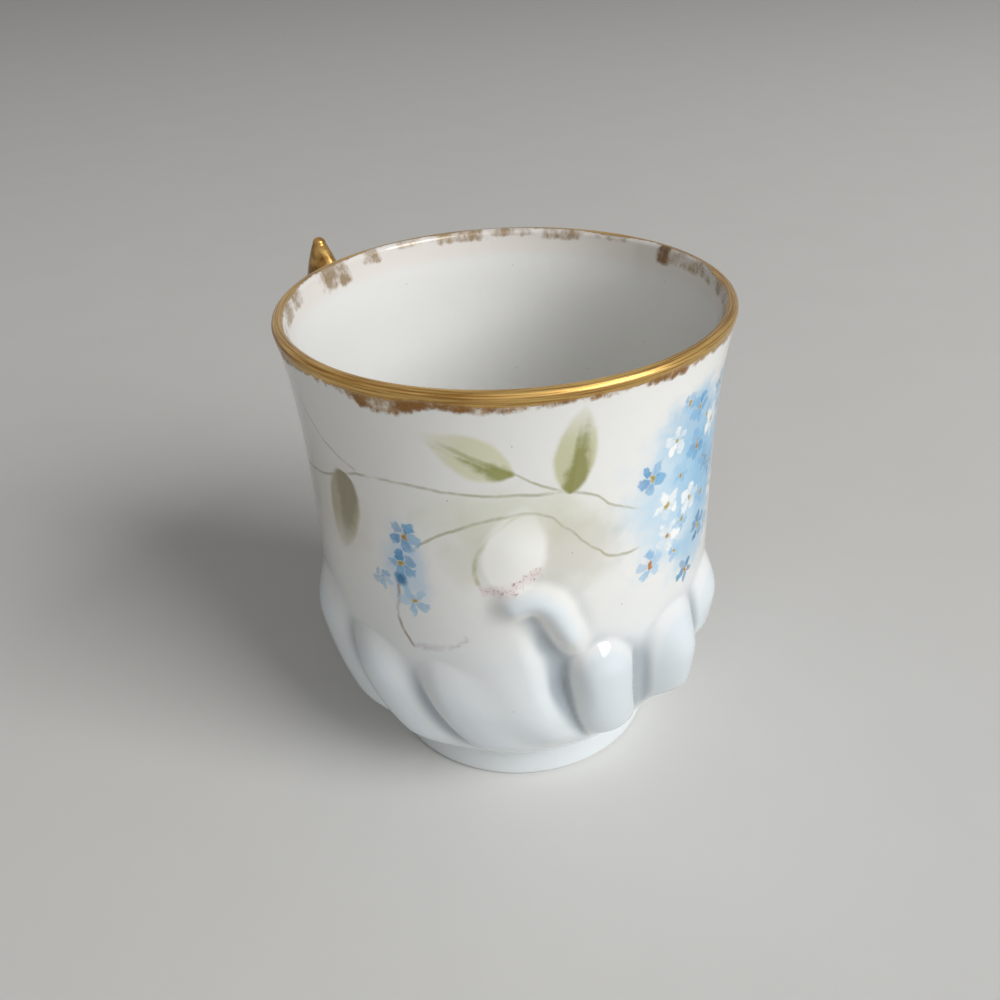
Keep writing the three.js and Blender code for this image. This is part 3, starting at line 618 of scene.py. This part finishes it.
def lip_section(along, offset):
    """Radius and height on the lip by the way along it from the outer equator, taken outwards by an offset."""
    z_out, z_in = LIP_EQUATOR + np.minimum(along, 0), LIP_EQUATOR - np.maximum(along - OVER_LIP, 0)
    a = np.clip(along / (LIP / 2), 0, np.pi)
    arc_r = RIM_RADIUS - LIP / 2 + (LIP / 2 + offset) * np.cos(a)
    arc_z = LIP_EQUATOR + (LIP / 2 + offset) * np.sin(a)
    inner_side = np.where(along > OVER_LIP, inner_radius(z_in) - offset, arc_r)
    radius = np.where(along < 0, outer_radius(z_out) + offset, inner_side)
    return radius, np.where(along < 0, z_out, np.where(along > OVER_LIP, z_in, arc_z))


gilt_angles = np.linspace(0, 360, GILT_COLUMNS + 1)[:-1]
front_angle = (gilt_angles - FRONT + 180) % 360 - 180
# two places at the front where the gold ran further down
drip = 1.1 * np.exp(-((front_angle + 28) / 8.0) ** 4) + 0.4 * np.exp(-((front_angle + 5) / 9.0) ** 2)
outside_depth = (GILT_OUTSIDE + 0.35 * ragged(gilt_angles, (3, 18), 5)
                 + 0.1 * ragged(gilt_angles, (40, 150), 6) + drip)
inside_depth = GILT_INSIDE + 0.3 * ragged(gilt_angles, (4, 20), 7) + OVER_LIP
# rows of the film: down the outside, evenly over the lip, and down the inside
share = np.linspace(0, 1, GILT_ROWS // 3 + 1)[:, None]
along = np.concatenate([-outside_depth * (1 - share[:-1]), OVER_LIP * share[:-1] + 0 * outside_depth,
                        OVER_LIP + (inside_depth - OVER_LIP) * share])
along = np.concatenate([along, along[::-1]])
lift = np.where(np.arange(len(along)) < len(along) // 2, GILT_FILM, -GILT_BED)[:, None]
radius, z = lip_section(along, lift)
gilt_u = np.radians(np.linspace(0, 360, GILT_COLUMNS + 1)) * PAINT_RADIUS
gilt_v = np.concatenate([along, along[:, :1]], 1)
gilt_v = np.concatenate([gilt_v, gilt_v[:1]])
gilt_uv = np.stack([np.broadcast_to(gilt_u, gilt_v.shape), gilt_v], -1)
gilding = add_mesh("rim_gold", turned(radius, np.broadcast_to(gilt_angles, z.shape), z), gilt_uv, closed_rows=True)
edge = np.minimum(along + outside_depth, inside_depth - along)
mark(gilding, "edge", edge)
# how far a place lies beyond the whole gold: down the inside, where least is left at the back, or down the outside
whole = 2.0 + 0.2 * ragged(gilt_angles, (3, 16), 9) - 0.5 * np.exp(-((np.abs(front_angle) - 180) / 75.0) ** 4)
solid = 0.6 + 0.3 * ragged(gilt_angles, (3, 18), 10) + 0.4 * drip
past = np.maximum(along - whole, -along - solid)
mark(gilding, "past", past)
# stains of gold left on the inside: degrees from the front, half width, upper and lower height, strength
STAINS = [(-121, 8, 67.4, 64.3, 0.8), (-93, 12, 68.0, 65.4, 0.75), (-137, 4, 68.0, 66.1, 0.7),
          (-150, 5, 68.2, 67.0, 0.6), (-167, 10, 68.4, 66.5, 0.8), (176, 9, 68.4, 67.0, 0.7),
          (160, 8, 68.4, 66.5, 0.75), (145, 9, 68.4, 67.3, 0.6), (124.5, 3.2, 68.0, 65.3, 1.1),
          (110, 15, 68.2, 66.0, 0.66), (88, 11, 68.2, 66.2, 0.66), (-60, 12, 68.0, 66.4, 0.6)]
stain = np.zeros_like(along)
for middle, half, top, bottom, strength in STAINS:
    off = np.abs((front_angle - middle + 180) % 360 - 180) / half
    fall = np.clip((LIP_EQUATOR + OVER_LIP - along - bottom) / (top - bottom), 0, 1)
    stain = np.maximum(stain, strength * ease(1.4 - off) * ease(2.2 * fall))
stain = np.where(along > OVER_LIP / 2, stain, 0)
mark(gilding, "stain", stain)


def gold_group():
    """Brushed gold: fine lines along the brush, darker where the film is thin, from a place that is stretched
    along the stroke. On the handle the dark brown it is given is partly painted shade."""
    tree, given, out = new_group("brushed_gold", [("Place", "Vector"), ("Thin", "Float"), ("Worn_and_shade", "Color")],
                                 [("Colour", "Color"), ("Roughness", "Float"), ("Height", "Float")])
    lines = node(tree, "TexNoise", given["Place"], None, 1.0, 3.0, 0.6).outputs[0]
    blots = node(tree, "TexNoise", given["Place"], None, 0.12, 3.0, 0.6).outputs[0]
    tone = calc(tree, "ADD", calc(tree, "MULTIPLY", lines, 0.5), calc(tree, "MULTIPLY", blots, 0.5))
    colour = laid_over(tree, step(tree, tone, 0.36, 0.62), rgb("906430"), rgb("E2BC74"))
    colour = laid_over(tree, given["Thin"], colour, given["Worn_and_shade"])
    tree.links.new(colour, out["Colour"])
    tree.links.new(calc(tree, "MULTIPLY_ADD", lines, 0.25, 0.16), out["Roughness"])
    tree.links.new(lines, out["Height"])
    return tree


brushed_gold = gold_group()
gold, tree, shader = new_material("worn_gold")
uv = node(tree, "UVMap", uv_map="place").outputs[0]
raw = node(tree, "SeparateXYZ", uv).outputs
brush = node(tree, "VectorMath", uv, (0.12, 5.0, 1.0), operation="MULTIPLY").outputs[0]
stroke = node(tree, "VectorMath", uv, (1.0, 0.5, 1.0), operation="MULTIPLY").outputs[0]
wear = node(tree, "TexNoise", stroke, None, 1.0, 4.0, 0.65).outputs[0]
patch = node(tree, "TexNoise", uv, None, 0.35, 3.0, 0.6).outputs[0]
rim = marked(tree, "edge")
past = marked(tree, "past")
stain = marked(tree, "stain")
feather = step(tree, calc(tree, "ADD", rim, calc(tree, "MULTIPLY_ADD", wear, 1.6, -0.8)), -0.1, 0.7)
torn = calc(tree, "ADD", past, calc(tree, "MULTIPLY_ADD", wear, 0.9, -0.45))
whole = step(tree, torn, 0.2, -0.12)
outer = step(tree, raw[1], 0.2, -0.2)
smudge = step(tree, calc(tree, "MULTIPLY_ADD", wear, 0.6, patch), 0.52, 0.96, 0.88)
smudge = calc(tree, "MULTIPLY", outer, smudge)
inner = calc(tree, "ADD", stain, calc(tree, "MULTIPLY_ADD", wear, 1.1, -0.55))
inner = calc(tree, "ADD", inner, calc(tree, "MULTIPLY_ADD", patch, 1.3, -0.65))
rest = calc(tree, "MAXIMUM", smudge, step(tree, inner, 0.35, 1.15, 0.8))
alpha = calc(tree, "MULTIPLY", feather, calc(tree, "MAXIMUM", whole, rest))
thin = step(tree, torn, -0.55, 0.35)
tan = laid_over(tree, step(tree, stain, 0.85, 1.05), rgb("B39A74"), rgb("7C5A2E"))
brown = laid_over(tree, step(tree, patch, 0.4, 0.62), rgb("BA8E4E"), rgb("946422"))
made = node(tree, "Group", brush, thin, laid_over(tree, outer, tan, brown), node_tree=brushed_gold)
tree.links.new(made.outputs["Colour"], shader.inputs["Base Color"])
tree.links.new(made.outputs["Roughness"], shader.inputs["Roughness"])
tree.links.new(alpha, shader.inputs["Alpha"])
bumped(tree, shader, made.outputs["Height"], 0.25, 0.00005)
tree.links.new(calc(tree, "MULTIPLY_ADD", thin, -0.6, 0.95), shader.inputs["Metallic"])
gilding.data.materials.append(gold)
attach(gilding, "root")
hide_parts("rim_gilding")


# HANDLE
# A loop cast on its own in porcelain, oval in section and wider at both ends, with a horn on top for the thumb.
# It was stuck to the wall with slip before the first firing, and gilded all over after the last glaze.
HANDLE_PROJECTION, HANDLE_THICKNESS, HANDLE_WIDTH = 19.7, 1.9, 2.5
HANDLE_UPPER, HANDLE_LOWER, HANDLE_PEAK = CUP_HEIGHT - 9.5, BELLY_TOP + 8.5, CUP_HEIGHT - 7.9
# the wall's radius where the handle's ends meet it
UPPER_WALL, LOWER_WALL = outer_radius(np.array([HANDLE_UPPER, HANDLE_LOWER]))
HANDLE_BULGE, HANDLE_CUT, HANDLE_GIRTH = 0.58, 1.2, 14.0
TERMINAL_SPREAD, TERMINAL_SHARE = 1.1, 0.13
SPUR_REACH, SPUR_HEIGHT, SPUR_TIP, SPUR_FOOT, SPUR_LEAN = 14.0, 7.2, 1.05, (5.2, 2.4), 0.7
TIP_START = 0.82                                # share of the horn below its rounded tip
HANDLE_COLUMNS, HANDLE_ROWS = 64, 260


def bezier(a, b, c, d, t):
    """Cubic with two end points and two handles."""
    t = t[:, None]
    return (1 - t) ** 3 * a + 3 * (1 - t) ** 2 * t * b + 3 * (1 - t) * t ** 2 * c + t ** 3 * d


def handle_line(count, cut):
    """The loop's centre line in its own plane, from the wall over the peak and back: evenly spaced points, cut
    back at both ends so that they end within the wall, each one's share of the length, and the length."""
    start = np.array([UPPER_WALL - WALL, HANDLE_UPPER])
    peak = np.array([UPPER_WALL + SPUR_REACH, HANDLE_PEAK])
    side = np.array([WAIST + HANDLE_PROJECTION, HANDLE_LOWER + (HANDLE_PEAK - HANDLE_LOWER) * HANDLE_BULGE])
    end = np.array([LOWER_WALL - WALL, HANDLE_LOWER])
    t = np.linspace(0, 1, 400)
    line = []
    for p, q, leave, arrive in ((start, peak, (0.45, 0.25), (0.4, 0)), (peak, side, (0.62, 0), (0, 0.55)),
                                (side, end, (0, 0.6), (0.62, -0.12))):
        line.append(bezier(p, p + (q - p) * leave, q - (q - p) * arrive, q, t))
    line = np.concatenate(line)
    run = np.concatenate([[0], np.cumsum(np.linalg.norm(np.diff(line, axis=0), axis=1))])
    even = np.linspace(cut, run[-1] - cut, count)
    return np.stack([np.interp(even, run, line[:, k]) for k in (0, 1)], 1), even / run[-1], run[-1]


def tube(line, share, grow):
    """An oval ring at each point of the centre line, square to it, wider towards both ends of the loop."""
    along = np.gradient(line, axis=0)
    along /= np.linalg.norm(along, axis=1, keepdims=True)
    out = np.stack([-along[:, 1], along[:, 0]], 1)
    wide = (grow + TERMINAL_SPREAD * (1 - ease(np.minimum(share, 1 - share) / TERMINAL_SHARE)))[:, None]
    a = np.linspace(0, 2 * np.pi, HANDLE_COLUMNS + 1)[:-1]
    lift = (HANDLE_THICKNESS + wide) * np.cos(a)
    x = line[:, :1] + out[:, :1] * lift
    z = line[:, 1:] + out[:, 1:] * lift
    return np.stack([x, (HANDLE_WIDTH + wide) * -np.sin(a), z], -1)


def handle_uv(length, rows):
    """Turn round the section and way along the handle, both in mm."""
    turn = np.linspace(0, HANDLE_GIRTH, HANDLE_COLUMNS + 1)
    return np.stack(np.meshgrid(turn, length * np.linspace(0, 1, rows)), -1)


line, share, length = handle_line(HANDLE_ROWS, HANDLE_CUT)
loop = tube(line, share, np.zeros(HANDLE_ROWS))
ends = np.stack([loop[0].mean(0), loop[-1].mean(0)])
handle = add_mesh("handle_loop", loop, handle_uv(length, HANDLE_ROWS), ends=ends)


def thumb_horn():
    """A horn of oval rings on an upright axis: a rounded tip, and a foot that flares along the loop, bends with
    the loop's centre line and is sunk into it."""
    t = np.linspace(0, 1, 40)[:, None]
    flare = np.clip(1 - t / TIP_START, 0, 1) ** 0.85
    top = np.clip((t - TIP_START) / (1 - TIP_START), 0, 1)
    tip = SPUR_TIP * np.cos(np.pi / 2 * top)
    z = np.minimum(t / TIP_START, 1) * (SPUR_HEIGHT - SPUR_TIP) + SPUR_TIP * np.sin(np.pi / 2 * top)
    b = np.linspace(0, 2 * np.pi, HANDLE_COLUMNS + 1)[:-1]
    x = UPPER_WALL + SPUR_REACH
    ring_x = x - SPUR_LEAN * flare + (tip + (SPUR_FOOT[0] - SPUR_TIP) * flare) * np.cos(b)
    ring_y = (tip + (SPUR_FOOT[1] - SPUR_TIP) * flare) * np.sin(b)
    upper = line[:np.argmax(line[:, 0])]
    drop = HANDLE_PEAK - np.interp(ring_x, upper[:, 0], upper[:, 1])
    ring_z = HANDLE_PEAK + z - drop * (1 - t) ** 1.5
    return np.stack([ring_x, ring_y, ring_z], -1)[:-1], np.array([x - SPUR_LEAN, 0, HANDLE_PEAK])


rings, root = thumb_horn()
horn = add_mesh("handle_horn", rings, handle_uv(SPUR_HEIGHT, len(rings)),
                ends=np.stack([root, root + [SPUR_LEAN, 0, SPUR_HEIGHT]]))

gilt_porcelain, tree, shader = new_material("gilt_porcelain")
where = node(tree, "TexCoord").outputs["Object"]
millimetres = node(tree, "VectorMath", where, (1000.0, 1000.0, 1000.0), operation="MULTIPLY").outputs[0]
worn = node(tree, "TexNoise", millimetres, None, 0.35, 4.0, 0.6).outputs[0]
broad = node(tree, "VectorMath", where, (420.0, 420.0, 420.0), operation="MULTIPLY").outputs[0]
# dark brown patches where the gold is thin, made deeper as painted shade over the whole handle
made = node(tree, "Group", broad, step(tree, worn, 0.44, 0.72, 0.5), rgb("6A461C"), node_tree=brushed_gold)
tree.links.new(made.outputs["Colour"], shader.inputs["Base Color"])
tree.links.new(made.outputs["Roughness"], shader.inputs["Roughness"])
bumped(tree, shader, worn, 0.2, 0.0001)
shader.inputs["Metallic"].default_value = 0.95
for piece in (handle, horn):
    piece.data.materials.append(gilt_porcelain)
    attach(piece, "root")
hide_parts("handle")


# LUTES
# Two collars of slip that stick the handle's ends to the wall. The potter smoothed them with a wet brush into a
# small hollow fillet, and the glaze ran over them.
LUTE_SPREAD, LUTE_LENGTH, LUTE_CUT = 0.75, 3.6, 1.0
LUTE_SINK = 0.08                                # how deep a collar's thin end lies in the handle
FINE_ROWS = 1200                                # on the whole loop, so that a short collar has enough of them
slip, tree, shader = new_material("fired_slip")
where = node(tree, "TexCoord").outputs["Object"]
smear = node(tree, "TexNoise", where, None, 900.0, 3.0, 0.6).outputs[0]
colour = laid_over(tree, step(tree, smear, 0.4, 0.7, 0.6), rgb("E9E6DD"), rgb("CDB68A"))
tree.links.new(colour, shader.inputs["Base Color"])
tree.links.new(calc(tree, "MULTIPLY_ADD", smear, 0.15, 0.1), shader.inputs["Roughness"])
bumped(tree, shader, smear, 0.2, 0.0001)
for name, flip in (("upper_lute", False), ("lower_lute", True)):
    line, share, length = handle_line(FINE_ROWS, LUTE_CUT)
    line, share = (line[::-1], share[::-1]) if flip else (line, share)
    inside = np.abs(share - share[0]) * length < LUTE_LENGTH
    line, share = line[inside], share[inside]
    far = np.linspace(0, 1, len(line))
    collar = tube(line, share, LUTE_SPREAD * (1 - rise(far * 1.1)) - LUTE_SINK * far)
    collar = collar[:, ::-1] if flip else collar
    piece = add_mesh(name + "_collar", collar, handle_uv(LUTE_LENGTH, len(line)),
                     ends=np.stack([collar[0].mean(0), collar[-1].mean(0)]))
    piece.data.materials.append(slip)
    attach(piece, "root")
    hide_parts(name)


# TABLE, LIGHT AND CAMERA
# A plain pale table under soft studio light. The key light comes from the right, as in the photograph, and the
# camera stands where the photograph was taken from.
table = bpy.data.meshes.new("table_top")
table.from_pydata([(-3, -3, 0), (3, -3, 0), (3, 3, 0), (-3, 3, 0)], [], [(0, 1, 2, 3)])
table = bpy.data.objects.new("table_top", table)
bpy.context.scene.collection.objects.link(table)
linen, tree, shader = new_material("pale_table")
where = node(tree, "TexCoord").outputs["Object"]
mottle = node(tree, "TexNoise", where, None, 40.0, 4.0, 0.6).outputs[0]
tree.links.new(laid_over(tree, mottle, rgb("DEDDDA"), rgb("E4E3E0")), shader.inputs["Base Color"])
shader.inputs["Roughness"].default_value = 0.6
table.data.materials.append(linen)

CAMERA_FAR, CAMERA_UP, CAMERA_ROLL = 135.69, np.radians(20.326), np.radians(2.579)
RIM_MIDDLE_PIXEL, RIM_LEVEL = np.array([503.58, 299.51]), 67.7
PICTURE_SIDE = 1000                             # in pixels, and the focal length is the same
to_right = np.array([-np.sin(np.radians(FRONT)), np.cos(np.radians(FRONT)), 0])
away = -np.array([np.cos(np.radians(FRONT)), np.sin(np.radians(FRONT)), 0])
upward = np.array([0.0, 0.0, 1.0])
rim_middle = np.array([AXIS_X, 0, RIM_LEVEL])


def studio(right, back, up):
    """A point in metres from distances in mm to the right of the rim's middle, away from the camera and up."""
    return (rim_middle + right * to_right + back * away + up * upward) * MM


def look(eye, target, up):
    """Rows right, up and forward of a view from a point towards another."""
    forward = (target - eye) / np.linalg.norm(target - eye)
    right = np.cross(forward, up)
    right /= np.linalg.norm(right)
    return np.stack([right, np.cross(right, forward), forward])


def placed(thing, rows, eye):
    """Puts an object at a point, its x and y along the first two rows and looking along the third."""
    thing.matrix_world = Matrix([[*rows[:, k] * [1, 1, -1], eye[k]] for k in range(3)] + [[0, 0, 0, 1]])


eye = studio(0, -CAMERA_FAR * np.cos(CAMERA_UP), CAMERA_FAR * np.sin(CAMERA_UP))
rows = look(eye, studio(0, 0, 0), upward)
c, s = np.cos(CAMERA_ROLL), np.sin(CAMERA_ROLL)
rows = np.array([[c, -s, 0], [s, c, 0], [0, 0, 1]]) @ rows
# the turn that moves the rim's middle from the picture's middle to its own pixel
aim = np.array([*(RIM_MIDDLE_PIXEL - PICTURE_SIDE / 2) * [1, -1] / PICTURE_SIDE, 1.0])
aim /= np.linalg.norm(aim)
v = np.cross([0, 0, 1], aim)
cross = np.array([[0, -v[2], v[1]], [v[2], 0, -v[0]], [-v[1], v[0], 0]])
rows = (np.eye(3) + cross + cross @ cross / (1 + aim[2])) @ rows
camera = bpy.data.objects.new("camera", bpy.data.cameras.new("camera"))
camera.data.lens, camera.data.sensor_width, camera.data.sensor_fit = 36, 36, "HORIZONTAL"
camera.data.clip_start, camera.data.clip_end = 0.005, 20
bpy.context.scene.collection.objects.link(camera)
placed(camera, rows, eye)
bpy.context.scene.camera = camera

# each lamp: its place right, away and up from the rim's middle in mm, its side in metres and its power in watts
LAMPS = [("key", (1050, -760, 850), 0.9, 20.0), ("fill", (-1300, -500, 800), 1.6, 0.4),
         ("front", (100, -1400, 1000), 1.5, 3.4)]
for name, stand, size, power in LAMPS:
    lamp = bpy.data.objects.new(name, bpy.data.lights.new(name, "AREA"))
    lamp.data.size, lamp.data.energy = size, power
    bpy.context.scene.collection.objects.link(lamp)
    placed(lamp, look(studio(*stand), studio(0, 0, -30), upward), studio(*stand))

world = bpy.data.worlds.new("studio")
bpy.context.scene.world = world
world.use_nodes = True
tree = world.node_tree
ground = tree.nodes["Background"]
ray = node(tree, "LightPath").outputs
seen = calc(tree, "MAXIMUM", ray["Is Camera Ray"], ray["Is Glossy Ray"])
seen = calc(tree, "MAXIMUM", seen, ray["Is Transmission Ray"])
ground.inputs["Color"].default_value = rgb("E6E5E3")
tree.links.new(calc(tree, "MULTIPLY_ADD", seen, 0.5, 0.18), ground.inputs["Strength"])
bpy.context.scene.view_settings.view_transform = "Standard"
